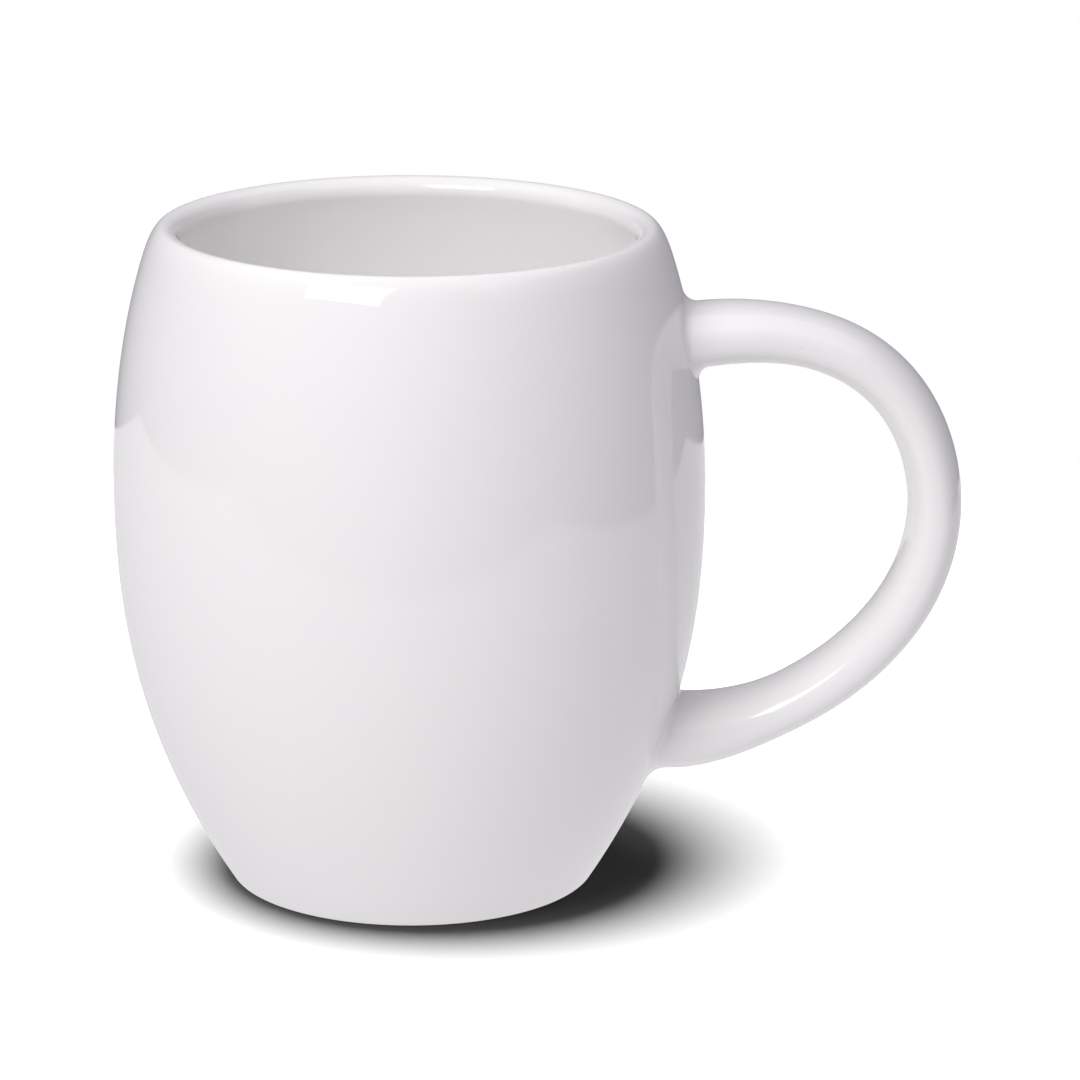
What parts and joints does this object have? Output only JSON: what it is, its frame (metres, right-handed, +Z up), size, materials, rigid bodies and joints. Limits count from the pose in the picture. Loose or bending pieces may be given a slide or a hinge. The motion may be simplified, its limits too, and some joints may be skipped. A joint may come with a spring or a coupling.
{
  "type": "barrel mug",
  "caption": "Barrel-shaped white glazed ceramic mug with a rounded lip and a D-shaped handle of oval section, for hot drinks.",
  "frame": {"origin": "on the plane that the mug stands on, under the middle of its whole outline; the cup's own axis is 21.0 mm to -X of it", "axes": "+Z up through the mouth, +X towards the handle, +Y across the handle"},
  "size_m": [0.1392, 0.0972, 0.11],
  "materials": {
    "cup": "glossy white glaze, bare clay on the foot ring",
    "handle": "glossy white glaze",
    "slip_joint": "glossy white glaze, pooled a little thicker in the fillet"
  },
  "bodies": {
    "root": {"body": "cup", "handle": "handle", "upper_slip_joint": "slip_joint", "lower_slip_joint": "slip_joint"}
  },
  "joints": []
}
